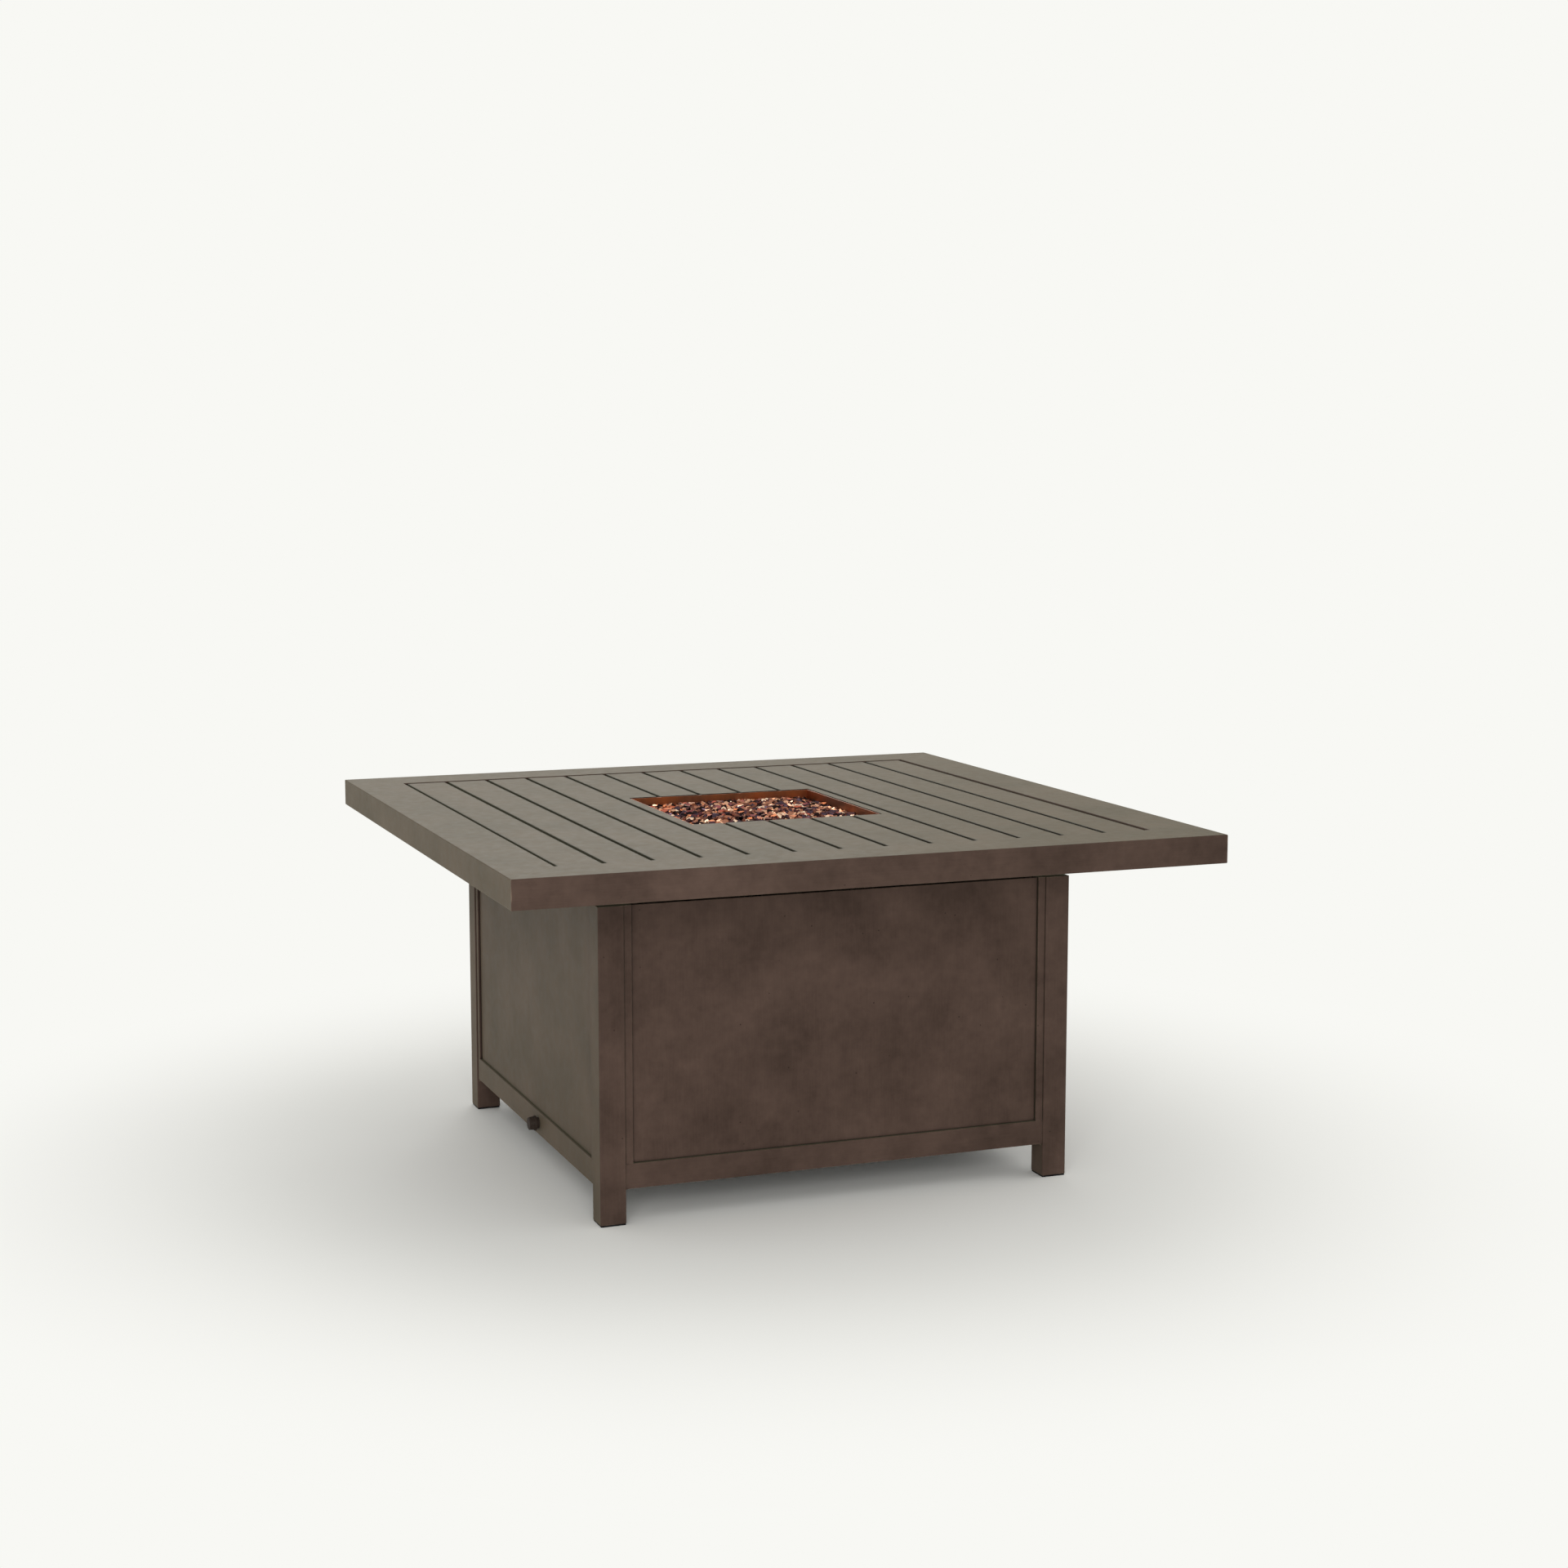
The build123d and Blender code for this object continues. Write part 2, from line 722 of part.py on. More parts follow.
with BuildPart() as panel_nut:
    with BuildSketch(valve_plane.offset(-snout_length)):
        Circle(nut_diameter / 2)
    extrude(amount=snout_proud)
    chamfer(panel_nut.faces().sort_by(Axis.X)[0].edges(), nut_chamfer)
    with BuildSketch(valve_plane.offset(-snout_length)):
        Circle(snout_diameter / 2 + fit_clearance)
    extrude(amount=snout_proud, mode=Mode.SUBTRACT)
save(panel_nut.part, "valve_panel_nut")

with BuildPart() as push_sleeve:
    with BuildSketch(valve_plane.offset(sleeve_setback - snout_length)):
        Circle(sleeve_diameter / 2)
        Circle(stem_diameter / 2 + running_clearance, mode=Mode.SUBTRACT)
    extrude(amount=sleeve_length)
save(push_sleeve.part, "valve_push_sleeve")

stem_front = knob_back - stem_grip
with BuildPart() as valve_stem:
    with BuildSketch(valve_plane.offset(stem_front - valve_back)):
        Circle(stem_diameter / 2)
    extrude(amount=stem_end - stem_front)
save(valve_stem.part, "valve_stem")

# Control knob: many-sided grip on a round skirt, with a pointer line, hollow behind to clear the nut
knob_plane = Plane(origin=(knob_back, knob_offset, knob_height), x_dir=(0, 0, 1), z_dir=(-1, 0, 0))
with BuildPart() as control_knob:
    with BuildSketch(knob_plane):
        Circle(knob_diameter / 2)
    extrude(amount=knob_skirt)
    with BuildSketch(knob_plane.offset(knob_skirt)):
        RegularPolygon(knob_diameter / 2 - knob_edge, knob_sides)
    extrude(amount=knob_length - knob_skirt, taper=knob_taper)
    chamfer(control_knob.faces().sort_by(Axis.X)[0].edges(), knob_edge)
    with BuildSketch(knob_plane.offset(knob_length)):
        with Locations((knob_diameter / 2 - pointer_length, 0)):
            Rectangle(pointer_length, pointer_width)
    extrude(amount=-pointer_depth, mode=Mode.SUBTRACT)
    with BuildSketch(knob_plane):
        Circle(knob_recess / 2)
    extrude(amount=knob_recess_depth, mode=Mode.SUBTRACT)
    with BuildSketch(knob_plane):
        Circle(stem_diameter / 2 + running_clearance)
    extrude(amount=stem_grip, mode=Mode.SUBTRACT)
save(control_knob.part, "control_knob")

# Gas inlet on one side of the valve, tilted down to clear the rails
inlet_seat = valve_plane.from_local_coords((valve_size / 2, 0, valve_length / 2))
inlet_plane = Plane(origin=inlet_seat, z_dir=inlet_way)
with BuildPart() as gas_inlet:
    with BuildSketch(inlet_plane):
        RegularPolygon(flare_flats / 2, 6, major_radius=False)
    extrude(amount=inlet_hex)
    with BuildSketch(inlet_plane.offset(inlet_hex)):
        Circle(inlet_diameter / 2)
    extrude(amount=inlet_length)
    outer_end = gas_inlet.faces().sort_by(Axis(inlet_seat, inlet_way))[-1]
    chamfer(outer_end.edges(), inlet_cone)
save(gas_inlet.part, "gas_inlet")

# Feed pipe from the valve to the orifice, with its flare nuts
pipe_start = valve_back + valve_length + boss_length
with BuildPart() as feed_pipe:
    with BuildLine() as pipe_route:
        FilletPolyline(
            (pipe_start, knob_offset, knob_height),
            (0, knob_offset, knob_height),
            (0, 0, boss_foot - pipe_riser),
            (0, 0, boss_foot),
            radius=pipe_bend,
        )
    with BuildSketch(Plane(origin=(pipe_start, knob_offset, knob_height), z_dir=(1, 0, 0))):
        Circle(pipe_diameter / 2)
    sweep()
save(feed_pipe.part, "feed_pipe")


def flare_nut(plane):
    """Hex nut over a pipe end: the plane is where pipe and boss meet, its normal points to the boss."""
    with BuildPart() as nut:
        with BuildSketch(plane.offset(-flare_length / 2)):
            RegularPolygon(flare_flats / 2, 6, major_radius=False)
            Circle(pipe_diameter / 2 + fit_clearance, mode=Mode.SUBTRACT)
        extrude(amount=flare_length)
        with BuildSketch(plane):
            Circle(boss_diameter / 2 + fit_clearance)
        extrude(amount=flare_length / 2, mode=Mode.SUBTRACT)
    return nut.part


valve_joint = Plane(origin=(pipe_start, knob_offset, knob_height), z_dir=(-1, 0, 0))
orifice_joint = Plane(origin=(0, 0, boss_foot))
save(group([flare_nut(valve_joint), flare_nut(orifice_joint)]), "flare_nuts")
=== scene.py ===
"""Looks of the slat-top gas fire table: finishes, loose fire glass, studio and camera. Metres, +Z up."""
import math
import random

import bmesh
import bpy
from mathutils import Euler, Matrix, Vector


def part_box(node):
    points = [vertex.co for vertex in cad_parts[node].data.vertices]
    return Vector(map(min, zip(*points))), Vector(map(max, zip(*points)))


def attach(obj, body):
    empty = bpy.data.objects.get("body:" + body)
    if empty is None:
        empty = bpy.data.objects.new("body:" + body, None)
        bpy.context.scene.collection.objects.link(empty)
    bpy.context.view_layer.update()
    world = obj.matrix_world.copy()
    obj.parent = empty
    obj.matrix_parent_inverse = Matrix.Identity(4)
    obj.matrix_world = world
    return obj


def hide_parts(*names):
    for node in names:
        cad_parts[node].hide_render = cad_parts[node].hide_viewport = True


MM = 0.001
X, Y, Z = range(3)

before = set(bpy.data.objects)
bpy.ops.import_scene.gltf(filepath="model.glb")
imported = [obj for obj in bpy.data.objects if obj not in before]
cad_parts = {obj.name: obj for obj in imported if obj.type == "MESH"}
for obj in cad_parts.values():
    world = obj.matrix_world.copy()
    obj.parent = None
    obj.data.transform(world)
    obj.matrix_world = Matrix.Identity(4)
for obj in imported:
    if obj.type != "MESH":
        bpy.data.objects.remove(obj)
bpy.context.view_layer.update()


# Colours, nodes and objects
def paint(hex_colour):
    """sRGB hex, such as 5A4A3C, as linear red, green, blue and alpha."""
    levels = [int(hex_colour[i : i + 2], 16) / 255 for i in (0, 2, 4)]
    linear = [c / 12.92 if c <= 0.04045 else ((c + 0.055) / 1.055) ** 2.4 for c in levels]
    return (*linear, 1.0)


def node(tree, kind, inputs=None, **settings):
    """Add one shader node: settings are its own properties, inputs are values or sockets to link."""
    made = tree.nodes.new(kind)
    for key, value in settings.items():
        setattr(made, key, value)
    for key, value in (inputs or {}).items():
        if isinstance(value, bpy.types.NodeSocket):
            tree.links.new(value, made.inputs[key])
        else:
            made.inputs[key].default_value = value
    return made


def empty_material(name):
    """A material with nothing in it but its output."""
    material = bpy.data.materials.new(name)
    material.use_nodes = True
    tree = material.node_tree
    tree.nodes.clear()
    return material, tree, node(tree, "ShaderNodeOutputMaterial")


def drawn_out(axis, stretch):
    """Scale that draws a pattern out along one axis."""
    scale = [1.0, 1.0, 1.0]
    scale[axis] = 1 / stretch
    return scale


def new_object(name, data):
    """An object in the scene that holds this mesh, lamp or camera."""
    made = bpy.data.objects.new(name, data)
    bpy.context.scene.collection.objects.link(made)
    return made


# Sockets of the colour form of the Mix node, whose names repeat
MIX_SHARE, MIX_FIRST, MIX_SECOND, MIX_RESULT = 0, 6, 7, 2

# Most of a noise's values lie between these
NOISE_LOW, NOISE_HIGH = 0.3, 0.7

# Polyester powder coat on aluminium, glazed bronze brown and rubbed by hand: a low satin sheen with a
# dusty bloom at low angles, soft clouds, faint rubbing marks along each piece, a few dark pits, a
# thinner, lighter coat on the outer edges, dark glaze and painted shade in gaps and in inner corners,
# and painted shade on the slats' lips
COAT = {"dark": "392C26", "light": "56453D"}
RUBBED = "766659"
# Dark glaze of the pits, also painted as shade in gaps and on the slats' lips
GLAZE_AND_SHADE = "1C1511"
BLOOM = "E3E1B6"
BLOOM_WEIGHT = 0.18
BLOOM_ROUGHNESS = 0.4
COAT_GLOSS = 0.06
COAT_SMOOTHEST, COAT_ROUGHEST = 0.46, 0.58

# Clouds, mottle and rubbing marks, and what the last two add to the clouds' tone. Real rubbing marks
# are finer than these, which are as coarse as they need to be to show
CLOUD_MM = 100
MOTTLE_MM = 17
MOTTLE_SHARE = 0.5
RUB_MM = 2.4
RUB_STRETCH = 18
RUB_SHARE = 0.2
DARKEST_TONE, LIGHTEST_TONE = 0.5, 1.2

# Pits: how far apart and how wide they are, how much of that is full, and the share of glaze there
PIT_SPACING_MM = 26
PIT_MM = 1.5
PIT_CORE = 0.6
PIT_SHARE = 0.6

# Rubbed edges, and lips painted dark as shade: the reach over which normals are rounded, the cosines of
# the turn where an edge, the band beside a lip and the lip itself are full, and the mottle where bare
# patches start and are full
EDGE_MM = 1.8
LIP_MM = 6.0
TURN_START = 0.98
EDGE_FULL = 0.8
BAND_FULL = 0.93
LIP_FULL = 0.9
PATCH_START, PATCH_FULL = 0.42, 0.62

# Gaps, darkened with glaze and painted shade: how near a surface closes a point in, how open a point is
# where the darkening is full and where it ends, and its share where it is full
GAP_MM = 6.0
GAP_FULL, GAP_END = 0.45, 0.92
GAP_SHARE = 0.92

# Relief: orange peel, and the rubbing marks' share beside it
PEEL_MM = 1.6
PEEL_STRENGTH = 0.1
PEEL_DEPTH_MM = 0.2
RUB_RELIEF = 0.35


def off_the_face(tree, reach_mm, full):
    """1 near an edge, where a normal rounded over that reach leaves the face's own, 0 on the flat."""
    rounded = node(tree, "ShaderNodeBevel", {"Radius": reach_mm * MM}, samples=4).outputs["Normal"]
    straight = node(tree, "ShaderNodeNewGeometry").outputs["Normal"]
    agree = node(
        tree, "ShaderNodeVectorMath", {0: rounded, 1: straight}, operation="DOT_PRODUCT"
    ).outputs["Value"]
    return node(
        tree, "ShaderNodeMapRange", {"Value": agree, "From Min": TURN_START, "From Max": full}
    ).outputs["Result"]


def rubbed_edges(tree, mottle):
    """Share of bare, rubbed coat along the edges, broken up by the mottle."""
    patches = node(
        tree, "ShaderNodeMapRange", {"Value": mottle, "From Min": PATCH_START, "From Max": PATCH_FULL}
    ).outputs["Result"]
    edges = off_the_face(tree, EDGE_MM, EDGE_FULL)
    return node(tree, "ShaderNodeMath", {0: edges, 1: patches}, operation="MULTIPLY").outputs["Value"]


def painted_shade_lips(tree):
    """Share of painted shade on what turns down from a level face, and in a narrow band beside it."""
    normal = node(tree, "ShaderNodeNewGeometry").outputs["Normal"]
    level = node(tree, "ShaderNodeSeparateXYZ", {"Vector": normal}).outputs["Z"]
    turned = node(
        tree, "ShaderNodeMapRange", {"Value": level, "From Min": TURN_START, "From Max": LIP_FULL}
    ).outputs["Result"]
    band = off_the_face(tree, LIP_MM, BAND_FULL)
    return node(tree, "ShaderNodeMath", {0: band, 1: turned}, operation="MAXIMUM").outputs["Value"]


def bronze_powder_coat(name, grain, dark, light, edge, lips=False):
    """Satin coat with rubbing marks along one axis, and edges rubbed bare or, on lips, painted dark as
    shade.
    """
    material, tree, output = empty_material(name)
    place = node(tree, "ShaderNodeTexCoord").outputs["Object"]
    along = node(
        tree, "ShaderNodeMapping", {"Vector": place, "Scale": drawn_out(grain, RUB_STRETCH)}
    ).outputs["Vector"]
    clouds = node(
        tree, "ShaderNodeTexNoise", {"Vector": place, "Scale": 1 / (CLOUD_MM * MM), "Detail": 4.0}
    ).outputs["Fac"]
    mottle = node(
        tree,
        "ShaderNodeTexNoise",
        {"Vector": place, "Scale": 1 / (MOTTLE_MM * MM), "Detail": 6.0, "Roughness": 0.62},
    ).outputs["Fac"]
    marks = node(
        tree, "ShaderNodeTexNoise", {"Vector": along, "Scale": 1 / (RUB_MM * MM), "Detail": 3.0}
    ).outputs["Fac"]

    # Colour: clouds, mottle and marks between two browns
    tone = node(
        tree, "ShaderNodeMath", {0: mottle, 1: MOTTLE_SHARE, 2: clouds}, operation="MULTIPLY_ADD"
    ).outputs["Value"]
    tone = node(
        tree, "ShaderNodeMath", {0: marks, 1: RUB_SHARE, 2: tone}, operation="MULTIPLY_ADD"
    ).outputs["Value"]
    tone = node(
        tree, "ShaderNodeMapRange", {"Value": tone, "From Min": DARKEST_TONE, "From Max": LIGHTEST_TONE}
    ).outputs["Result"]
    colour = node(
        tree,
        "ShaderNodeMix",
        {MIX_SHARE: tone, MIX_FIRST: paint(dark), MIX_SECOND: paint(light)},
        data_type="RGBA",
    ).outputs[MIX_RESULT]

    # Pits: the middles of scattered cells that lie near the surface
    cells = node(
        tree, "ShaderNodeTexVoronoi", {"Vector": place, "Scale": 1 / (PIT_SPACING_MM * MM)}
    ).outputs["Distance"]
    pit_reach = PIT_MM / PIT_SPACING_MM
    pits = node(
        tree,
        "ShaderNodeMapRange",
        {
            "Value": cells,
            "From Min": PIT_CORE * pit_reach,
            "From Max": pit_reach,
            "To Min": PIT_SHARE,
            "To Max": 0.0,
        },
    ).outputs["Result"]
    colour = node(
        tree,
        "ShaderNodeMix",
        {MIX_SHARE: pits, MIX_FIRST: colour, MIX_SECOND: paint(GLAZE_AND_SHADE)},
        data_type="RGBA",
    ).outputs[MIX_RESULT]

    # Edges: rubbed bare, or on lips, painted dark as shade
    edges = painted_shade_lips(tree) if lips else rubbed_edges(tree, mottle)
    colour = node(
        tree,
        "ShaderNodeMix",
        {MIX_SHARE: edges, MIX_FIRST: colour, MIX_SECOND: paint(edge)},
        data_type="RGBA",
    ).outputs[MIX_RESULT]

    # Glaze and painted shade in the gaps: darker where near surfaces close a point in
    opened = node(
        tree, "ShaderNodeAmbientOcclusion", {"Distance": GAP_MM * MM}, samples=8
    ).outputs["AO"]
    glaze_and_shade = node(
        tree,
        "ShaderNodeMapRange",
        {"Value": opened, "From Min": GAP_FULL, "From Max": GAP_END, "To Min": GAP_SHARE, "To Max": 0.0},
    ).outputs["Result"]
    colour = node(
        tree,
        "ShaderNodeMix",
        {MIX_SHARE: glaze_and_shade, MIX_FIRST: colour, MIX_SECOND: paint(GLAZE_AND_SHADE)},
        data_type="RGBA",
    ).outputs[MIX_RESULT]

    # Sheen and relief: duller and glossier patches, orange peel and the rubbing marks
    rough = node(
        tree,
        "ShaderNodeMapRange",
        {
            "Value": mottle,
            "From Min": NOISE_LOW,
            "From Max": NOISE_HIGH,
            "To Min": COAT_SMOOTHEST,
            "To Max": COAT_ROUGHEST,
        },
    ).outputs["Result"]
    peel = node(
        tree, "ShaderNodeTexNoise", {"Vector": place, "Scale": 1 / (PEEL_MM * MM), "Detail": 2.0}
    ).outputs["Fac"]
    relief = node(
        tree, "ShaderNodeMath", {0: marks, 1: RUB_RELIEF, 2: peel}, operation="MULTIPLY_ADD"
    ).outputs["Value"]
    bump = node(
        tree,
        "ShaderNodeBump",
        {"Height": relief, "Strength": PEEL_STRENGTH, "Distance": PEEL_DEPTH_MM * MM},
    ).outputs["Normal"]
    skin = node(
        tree,
        "ShaderNodeBsdfPrincipled",
        {
            "Base Color": colour,
            "Roughness": rough,
            "Normal": bump,
            "Specular IOR Level": COAT_GLOSS,
            "Sheen Weight": BLOOM_WEIGHT,
            "Sheen Roughness": BLOOM_ROUGHNESS,
            "Sheen Tint": paint(BLOOM),
        },
    )
    tree.links.new(skin.outputs["BSDF"], output.inputs["Surface"])
    return material


# Bare and plated metals, rolled, drawn or machined: fine lines one way, and faint stains. Real lines are
# finer than these, which are as coarse as they need to be to show
LINE_MM = 1.2
LINE_STRETCH = 40
LINE_STRENGTH = 0.1
LINE_DEPTH_MM = 0.1
SMOOTHER, ROUGHER = 0.08, 0.1
STAIN_MM = 45
STAIN_START, STAIN_FULL = 0.35, 0.7


def drawn_metal(name, colour, stain, roughness, grain):
    """Metal with fine lines along one axis and faint stains."""
    material, tree, output = empty_material(name)
    place = node(tree, "ShaderNodeTexCoord").outputs["Object"]
    along = node(
        tree, "ShaderNodeMapping", {"Vector": place, "Scale": drawn_out(grain, LINE_STRETCH)}
    ).outputs["Vector"]
    lines = node(
        tree, "ShaderNodeTexNoise", {"Vector": along, "Scale": 1 / (LINE_MM * MM), "Detail": 2.0}
    ).outputs["Fac"]
    stains = node(
        tree, "ShaderNodeTexNoise", {"Vector": place, "Scale": 1 / (STAIN_MM * MM), "Detail": 4.0}
    ).outputs["Fac"]
    share = node(
        tree, "ShaderNodeMapRange", {"Value": stains, "From Min": STAIN_START, "From Max": STAIN_FULL}
    ).outputs["Result"]
    tone = node(
        tree,
        "ShaderNodeMix",
        {MIX_SHARE: share, MIX_FIRST: paint(colour), MIX_SECOND: paint(stain)},
        data_type="RGBA",
    ).outputs[MIX_RESULT]
    rough = node(
        tree,
        "ShaderNodeMapRange",
        {
            "Value": lines,
            "From Min": NOISE_LOW,
            "From Max": NOISE_HIGH,
            "To Min": roughness - SMOOTHER,
            "To Max": roughness + ROUGHER,
        },
    ).outputs["Result"]
    bump = node(
        tree,
        "ShaderNodeBump",
        {"Height": lines, "Strength": LINE_STRENGTH, "Distance": LINE_DEPTH_MM * MM},
    ).outputs["Normal"]
    skin = node(
        tree,
        "ShaderNodeBsdfPrincipled",
        {"Base Color": tone, "Roughness": rough, "Metallic": 1.0, "Normal": bump},
    )
    tree.links.new(skin.outputs["BSDF"], output.inputs["Surface"])
    return material


# Black moulded nylon and the knob's dark satin lacquer: a fine even grit, drawn coarser than the real
# one so that it shows
GRIT_MM = 0.9
GRIT_STRENGTH = 0.2
GRIT_DEPTH_MM = 0.1
GRIT_START, GRIT_FULL = 0.35, 0.7
GRIT_GLOSS = 0.08
GRIT_ROUGHNESS = 0.55


def fine_grit(name, colour, lighter):
    """Dark moulded or sprayed surface with a fine grit."""
    material, tree, output = empty_material(name)
    place = node(tree, "ShaderNodeTexCoord").outputs["Object"]
    grit = node(
        tree, "ShaderNodeTexNoise", {"Vector": place, "Scale": 1 / (GRIT_MM * MM), "Detail": 2.0}
    ).outputs["Fac"]
    share = node(
        tree, "ShaderNodeMapRange", {"Value": grit, "From Min": GRIT_START, "From Max": GRIT_FULL}
    ).outputs["Result"]
    tone = node(
        tree,
        "ShaderNodeMix",
        {MIX_SHARE: share, MIX_FIRST: paint(colour), MIX_SECOND: paint(lighter)},
        data_type="RGBA",
    ).outputs[MIX_RESULT]
    bump = node(
        tree,
        "ShaderNodeBump",
        {"Height": grit, "Strength": GRIT_STRENGTH, "Distance": GRIT_DEPTH_MM * MM},
    ).outputs["Normal"]
    skin = node(
        tree,
        "ShaderNodeBsdfPrincipled",
        {
            "Base Color": tone,
            "Roughness": GRIT_ROUGHNESS,
            "Normal": bump,
            "Specular IOR Level": GRIT_GLOSS,
        },
    )
    tree.links.new(skin.outputs["BSDF"], output.inputs["Surface"])
    return material


# Crushed tempered glass, metal-coated on some faces: near-black and mauve chips among copper mirrors
GLASS_ROUGHNESS = 0.16
GLASS_METALLIC = 0.85
GLASS_GLANCE = "C49A88"
TINT_LAYER = "chip_tint"


def coated_fire_glass():
    """Glossy chips whose tint is stored on each chip."""
    material, tree, output = empty_material("crushed_coated_glass")
    tint = node(tree, "ShaderNodeVertexColor", layer_name=TINT_LAYER).outputs["Color"]
    skin = node(
        tree,
        "ShaderNodeBsdfPrincipled",
        {
            "Base Color": tint,
            "Roughness": GLASS_ROUGHNESS,
            "Metallic": GLASS_METALLIC,
            "Specular Tint": paint(GLASS_GLANCE),
        },
    )
    tree.links.new(skin.outputs["BSDF"], output.inputs["Surface"])
    return material


# Coat of what shows outside
COAT_ALONG_X = bronze_powder_coat("bronze_powder_coat_along_x", X, **COAT, edge=RUBBED)
COAT_ALONG_Y = bronze_powder_coat("bronze_powder_coat_along_y", Y, **COAT, edge=RUBBED)
COAT_UPRIGHT = bronze_powder_coat("bronze_powder_coat_upright", Z, **COAT, edge=RUBBED)
# Slats: their lips and the faces that turn down into the gaps are painted dark as shade
SLAT_COAT = bronze_powder_coat("bronze_powder_coat_slats_shaded_lips", Y, **COAT, edge=GLAZE_AND_SHADE, lips=True)

# The same powder on what lies inside, painted darker as shade, and little rubbed
SHADED_INNER_COAT = bronze_powder_coat("inner_coat_painted_shade", X, dark="1F1813", light="2F251E", edge="3A2F27")

# Stainless sheet that the burner has tinted brown and copper
PAN_STEEL = drawn_metal("heat_tinted_stainless", "7A4E38", "9C5A36", 0.42, Z)

# Rolled stainless, a warm satin grey
STAINLESS = drawn_metal("rolled_stainless", "9A968F", "85796B", 0.36, X)

# Machined brass, a dull yellow with tool lines
BRASS = drawn_metal("machined_brass", "B8964C", "9C7B3C", 0.3, X)

# Zinc plate, a pale and slightly cloudy grey
ZINC = drawn_metal("zinc_plated_steel", "A9A9A6", "8F8F8C", 0.38, Z)

# Drawn aluminium, a light grey
TUBE = drawn_metal("drawn_aluminium_tube", "BFC0C0", "A9A9A8", 0.34, X)

# Sprayed lacquer, a brown that is nearly black, and moulded nylon, a matt black
KNOB = fine_grit("dark_bronze_lacquer", "2C241F", "39302A")
NYLON = fine_grit("moulded_black_nylon", "0D0D0D", "191919")
GLASS = coated_fire_glass()

# Finish of every piece of the frame, by how its name starts
FINISHES = (
    (SLAT_COAT, ("slat_0", "slat_1")),
    (COAT_ALONG_X, ("top_frame_front", "top_frame_back", "bottom_rail_front", "bottom_rail_back")),
    (COAT_ALONG_Y, ("top_frame_left", "top_frame_right", "bottom_rail_left", "bottom_rail_right")),
    (COAT_UPRIGHT, ("leg_", "panel_left", "panel_right", "panel_back", "panel_stiles", "access_panel")),
    (SHADED_INNER_COAT, ("top_rail_", "bearer", "slat_ledges")),
    (PAN_STEEL, ("burner_pan",)),
    (STAINLESS, ("burner_ring", "burner_lock_nut", "heat_shield", "air_mixer", "valve_stem")),
    (BRASS, ("valve_body", "valve_push_sleeve", "orifice_fitting", "gas_inlet", "flare_nuts")),
    (ZINC, ("pan_screws", "bracket_screws", "top_brackets")),
    (TUBE, ("feed_pipe",)),
    (KNOB, ("control_knob", "valve_panel_nut")),
    (NYLON, ("foot_glides", "panel_magnets")),
    (GLASS, ("fire_glass",)),
)
for name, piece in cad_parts.items():
    finish = next(material for material, starts in FINISHES if name.startswith(starts))
    piece.data.materials.clear()
    piece.data.materials.append(finish)

# Loose fire glass: broken plates heaped over a sheet of painted shade, where the frame's glass solid
# lies
CHIP_SEED = 7
CHIP_SHAPES = 24
CHIP_TINTS = {
    "1E1719": 0.24,
    "463842": 0.22,
    "70483C": 0.20,
    "A4705A": 0.16,
    "D2A284": 0.12,
    "F0D2B6": 0.06,
}

# One plate, about 1 across: its corners, how far out and how far round they stray, its thickness, and
# the angle under which two faces are one
CHIP_CORNERS = (4, 7)
CORNER_REACH = (0.62, 1.0)
CORNER_STRAY = 0.3
PLATE_SHARE = 0.55
PLATE_SPREAD = (0.8, 1.2)
SAME_FACE_DEG = 2

# Plates in the heap: size, a cell for each, where in its cell one lies, how near to a wall in its own
# sizes, how far it leans in radians, and the height of its top for each layer
CHIP_MM = (11.0, 21.0)
CHIP_PITCH_MM = 9.0
CELL_SPAN = (0.1, 0.9)
WALL_SHARE = 0.55
CHIP_LEAN = 0.7
LAYER_TOPS_MM = ((-5.0, -1.0), (-1.5, 2.5))

# Form of the heap, and the sheet of painted shade under it
HEAP_MM = 9.0
CROWN_SHARE = 0.48
BED_DROP_MM = 6.0
BED_STEPS = 24
BED_SHADE_TINT = "120E0C"


def chip_shape(dice):
    """Corners and faces of one broken plate about 1 across: two rough outlines, one over the other."""
    count = dice.randint(*CHIP_CORNERS)
    thick = dice.uniform(*PLATE_SPREAD) * PLATE_SHARE / 2
    chip = bmesh.new()
    for corner in range(count):
        angle = (corner + dice.uniform(-CORNER_STRAY, CORNER_STRAY)) / count * math.tau
        for level in (-thick, thick):
            reach = 0.5 * dice.uniform(*CORNER_REACH)
            chip.verts.new((reach * math.cos(angle), reach * math.sin(angle), level))
    bmesh.ops.convex_hull(chip, input=chip.verts)
    loose = [corner for corner in chip.verts if not corner.link_faces]
    bmesh.ops.delete(chip, geom=loose, context="VERTS")
    same_face = math.radians(SAME_FACE_DEG)
    bmesh.ops.dissolve_limit(chip, angle_limit=same_face, verts=chip.verts, edges=chip.edges)
    bmesh.ops.recalc_face_normals(chip, faces=chip.faces)
    chip.verts.index_update()
    corners = [corner.co.copy() for corner in chip.verts]
    faces = [[corner.index for corner in face.verts] for face in chip.faces]
    chip.free()
    return corners, faces


def heap_height(x, y, half, crown):
    """Top of the glass at a point: lowest at the pan's walls, rising to a flat crown."""
    edge = max(abs(x), abs(y)) / half
    rise = min(max((1 - edge) / (1 - CROWN_SHARE), 0.0), 1.0)
    smooth = rise * rise * (3 - 2 * rise)
    return crown - (1 - smooth) * HEAP_MM * MM


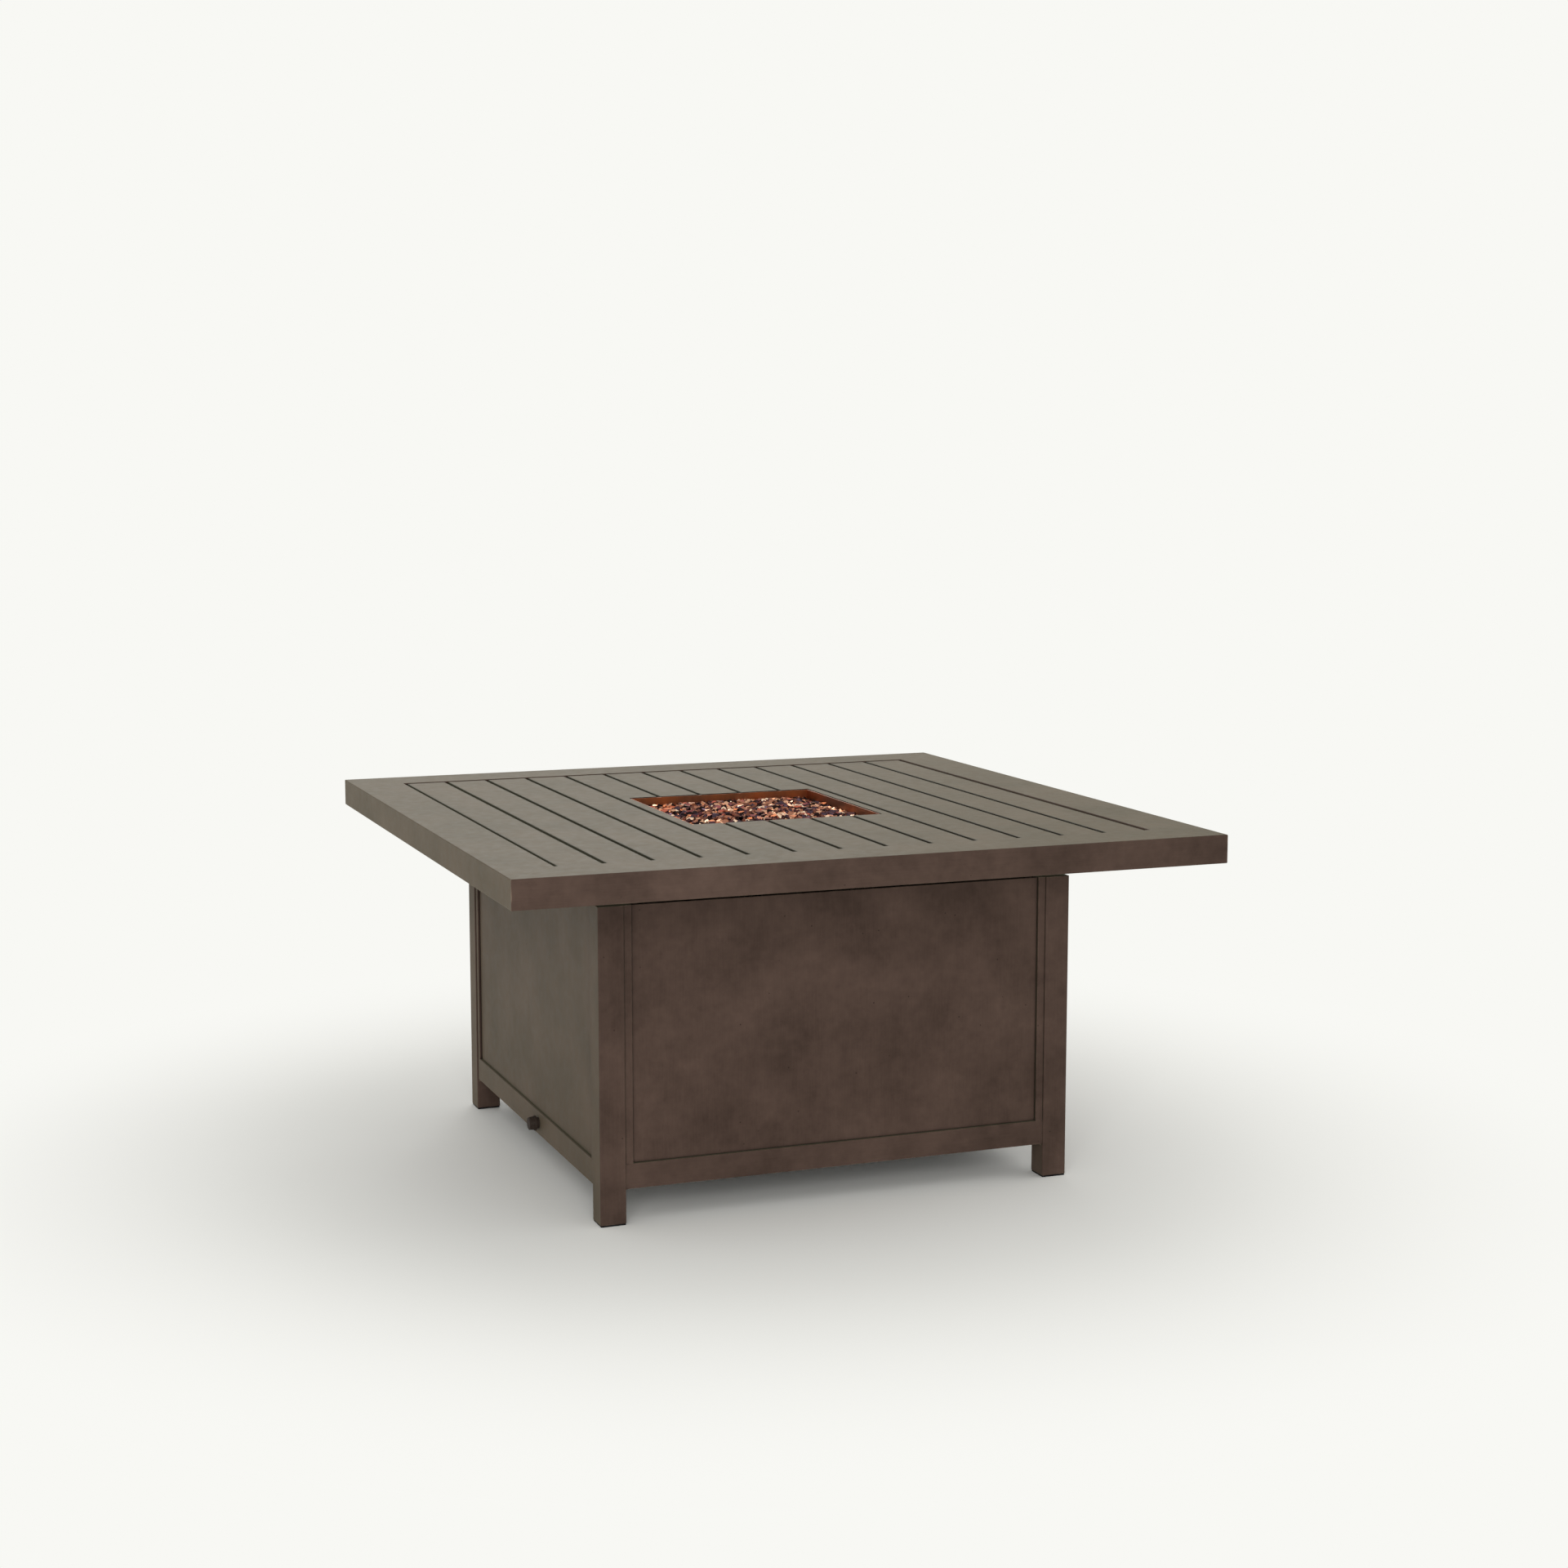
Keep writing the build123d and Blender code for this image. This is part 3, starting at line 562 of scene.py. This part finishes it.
def painted_shade_bed(half, crown):
    """Corners and faces of a near-black sheet of painted shade, so that no gap between the chips shows
    the burner.
    """
    corners, faces = [], []
    for row in range(BED_STEPS + 1):
        for column in range(BED_STEPS + 1):
            x = -half + 2 * half * column / BED_STEPS
            y = -half + 2 * half * row / BED_STEPS
            corners.append(Vector((x, y, heap_height(x, y, half, crown) - BED_DROP_MM * MM)))
    for row in range(BED_STEPS):
        for column in range(BED_STEPS):
            first = row * (BED_STEPS + 1) + column
            faces.append([first, first + 1, first + BED_STEPS + 2, first + BED_STEPS + 1])
    return corners, faces


def leaning_chip(dice, shapes, column, row, half, crown, top_mm):
    """Corners, faces and tint of one chip, leaning in its cell of the heap."""
    size = dice.uniform(*CHIP_MM) * MM
    reach = half - WALL_SHARE * size
    x = (column + dice.uniform(*CELL_SPAN)) * CHIP_PITCH_MM * MM - half
    y = (row + dice.uniform(*CELL_SPAN)) * CHIP_PITCH_MM * MM - half
    x = min(max(x, -reach), reach)
    y = min(max(y, -reach), reach)
    lean = Euler((dice.gauss(0, CHIP_LEAN), dice.gauss(0, CHIP_LEAN), dice.uniform(0, math.tau)))
    turn = lean.to_matrix()
    corners, faces = dice.choice(shapes)
    tint = dice.choices(list(CHIP_TINTS), CHIP_TINTS.values())[0]
    turned = [turn @ (corner * size) for corner in corners]
    top = heap_height(x, y, half, crown) + dice.uniform(*top_mm) * MM
    centre = Vector((x, y, top - max(corner.z for corner in turned)))
    return [centre + corner for corner in turned], faces, paint(tint)


def fire_glass_chips():
    """Chips over a sheet of painted shade, in the space that the glass holds."""
    dice = random.Random(CHIP_SEED)
    low, high = [Vector(corner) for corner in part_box("fire_glass")]
    half = (high.x - low.x) / 2
    shapes = [chip_shape(dice) for _ in range(CHIP_SHAPES)]
    corners, faces = painted_shade_bed(half, high.z)
    colours = [paint(BED_SHADE_TINT)] * len(faces)

    # The second layer lies half a cell over, between the chips of the first
    count = int(2 * half / (CHIP_PITCH_MM * MM))
    for layer, top_mm in enumerate(LAYER_TOPS_MM):
        for row in range(count):
            for column in range(count):
                cell = (column + 0.5 * layer, row + 0.5 * layer)
                chip, chip_faces, tint = leaning_chip(dice, shapes, *cell, half, high.z, top_mm)
                first = len(corners)
                corners += chip
                faces += [[first + index for index in face] for face in chip_faces]
                colours += [tint] * len(chip_faces)

    mesh = bpy.data.meshes.new("fire_glass_chips")
    mesh.from_pydata(corners, [], faces)
    tints = mesh.color_attributes.new(TINT_LAYER, "FLOAT_COLOR", "CORNER")
    for face, colour in zip(mesh.polygons, colours):
        for loop in face.loop_indices:
            tints.data[loop].color = colour
    mesh.materials.append(GLASS)
    piece = new_object("fire_glass_chips", mesh)
    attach(piece, "table")
    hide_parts("fire_glass")


fire_glass_chips()

# Studio: a pale floor that keeps the shadow near the table, an even world, and softboxes, each with its
# name, its place and side in metres, and its watts
BACKGROUND = "F8F8F4"
FLOOR_HALF = 30.0
SHADOW_WHOLE, SHADOW_GONE = 0.7, 1.5
WORLD_TINT = "FAFAF8"
WORLD_LIGHT = 0.7
TABLE_MIDDLE = (0.0, 0.0, 0.3)
SOFTBOXES = (
    ("front_softbox", (-1.6, -3.8, 1.1), 2.0, 72),
    ("right_softbox", (3.4, -0.6, 2.4), 2.4, 20),
    ("back_softbox", (0.6, 3.6, 2.8), 2.4, 40),
)


def seen_or_mirrored(tree):
    """1 for rays from the camera, from a gloss or through glass, and 0 for rays of light."""
    path = node(tree, "ShaderNodeLightPath").outputs
    seen = node(
        tree, "ShaderNodeMath", {0: path["Is Camera Ray"], 1: path["Is Glossy Ray"]}, operation="MAXIMUM"
    ).outputs["Value"]
    return node(
        tree, "ShaderNodeMath", {0: seen, 1: path["Is Transmission Ray"]}, operation="MAXIMUM"
    ).outputs["Value"]


def studio_floor():
    """Matt pale sheet that turns into the plain background away from the table."""
    mesh = bpy.data.meshes.new("studio_floor")
    corners = [(-FLOOR_HALF, -FLOOR_HALF, 0), (FLOOR_HALF, -FLOOR_HALF, 0)]
    corners += [(FLOOR_HALF, FLOOR_HALF, 0), (-FLOOR_HALF, FLOOR_HALF, 0)]
    mesh.from_pydata(corners, [], [(0, 1, 2, 3)])
    material, tree, output = empty_material("matt_studio_paper")
    place = node(tree, "ShaderNodeNewGeometry").outputs["Position"]
    distance = node(tree, "ShaderNodeVectorMath", {0: place}, operation="LENGTH").outputs["Value"]
    away = node(
        tree,
        "ShaderNodeMapRange",
        {"Value": distance, "From Min": SHADOW_WHOLE, "From Max": SHADOW_GONE},
        interpolation_type="SMOOTHSTEP",
    ).outputs["Result"]
    share = node(
        tree, "ShaderNodeMath", {0: away, 1: seen_or_mirrored(tree)}, operation="MULTIPLY"
    ).outputs["Value"]
    sheet = node(tree, "ShaderNodeBsdfDiffuse", {"Color": paint(BACKGROUND)}).outputs["BSDF"]
    plain = node(tree, "ShaderNodeEmission", {"Color": paint(BACKGROUND)}).outputs["Emission"]
    mix = node(tree, "ShaderNodeMixShader", {0: share, 1: sheet, 2: plain}).outputs["Shader"]
    tree.links.new(mix, output.inputs["Surface"])
    mesh.materials.append(material)
    new_object("studio_floor", mesh)


def studio_world():
    """Even light, and the plain background where the world is seen or mirrored."""
    world = bpy.data.worlds.new("studio_world")
    bpy.context.scene.world = world
    world.use_nodes = True
    tree = world.node_tree
    tree.nodes.clear()
    output = node(tree, "ShaderNodeOutputWorld")
    light = node(tree, "ShaderNodeBackground", {"Color": paint(WORLD_TINT), "Strength": WORLD_LIGHT})
    plain = node(tree, "ShaderNodeBackground", {"Color": paint(BACKGROUND), "Strength": 1.0})
    mix = node(
        tree,
        "ShaderNodeMixShader",
        {0: seen_or_mirrored(tree), 1: light.outputs["Background"], 2: plain.outputs["Background"]},
    )
    tree.links.new(mix.outputs["Shader"], output.inputs["Surface"])


def soft_lamp(name, place, side, watts):
    """Square softbox that points at the middle of the table."""
    lamp = bpy.data.lights.new(name, "AREA")
    lamp.size = side
    lamp.energy = watts
    holder = new_object(name, lamp)
    holder.location = place
    holder.rotation_euler = (Vector(TABLE_MIDDLE) - Vector(place)).to_track_quat("-Z", "Y").to_euler()


studio_floor()
studio_world()
for softbox in SOFTBOXES:
    soft_lamp(*softbox)

# Camera at the photograph's viewing angle
IMAGE_PX = 1920
FOCAL_PX = 3114.0
SENSOR_MM = 36.0
CAMERA_PLACE = (-1.441, -3.866, 1.143)
CAMERA_HEADING_DEG = 21.15
CAMERA_DIP_DEG = 7.57


def photo_camera():
    """Camera that stands where the photograph was taken from."""
    lens = bpy.data.cameras.new("photo_camera")
    lens.sensor_width = SENSOR_MM
    lens.lens = FOCAL_PX / IMAGE_PX * SENSOR_MM
    holder = new_object("photo_camera", lens)
    holder.location = CAMERA_PLACE
    holder.rotation_euler = (math.radians(90 - CAMERA_DIP_DEG), 0.0, math.radians(-CAMERA_HEADING_DEG))
    bpy.context.scene.camera = holder


photo_camera()
bpy.context.scene.view_settings.view_transform = "Standard"
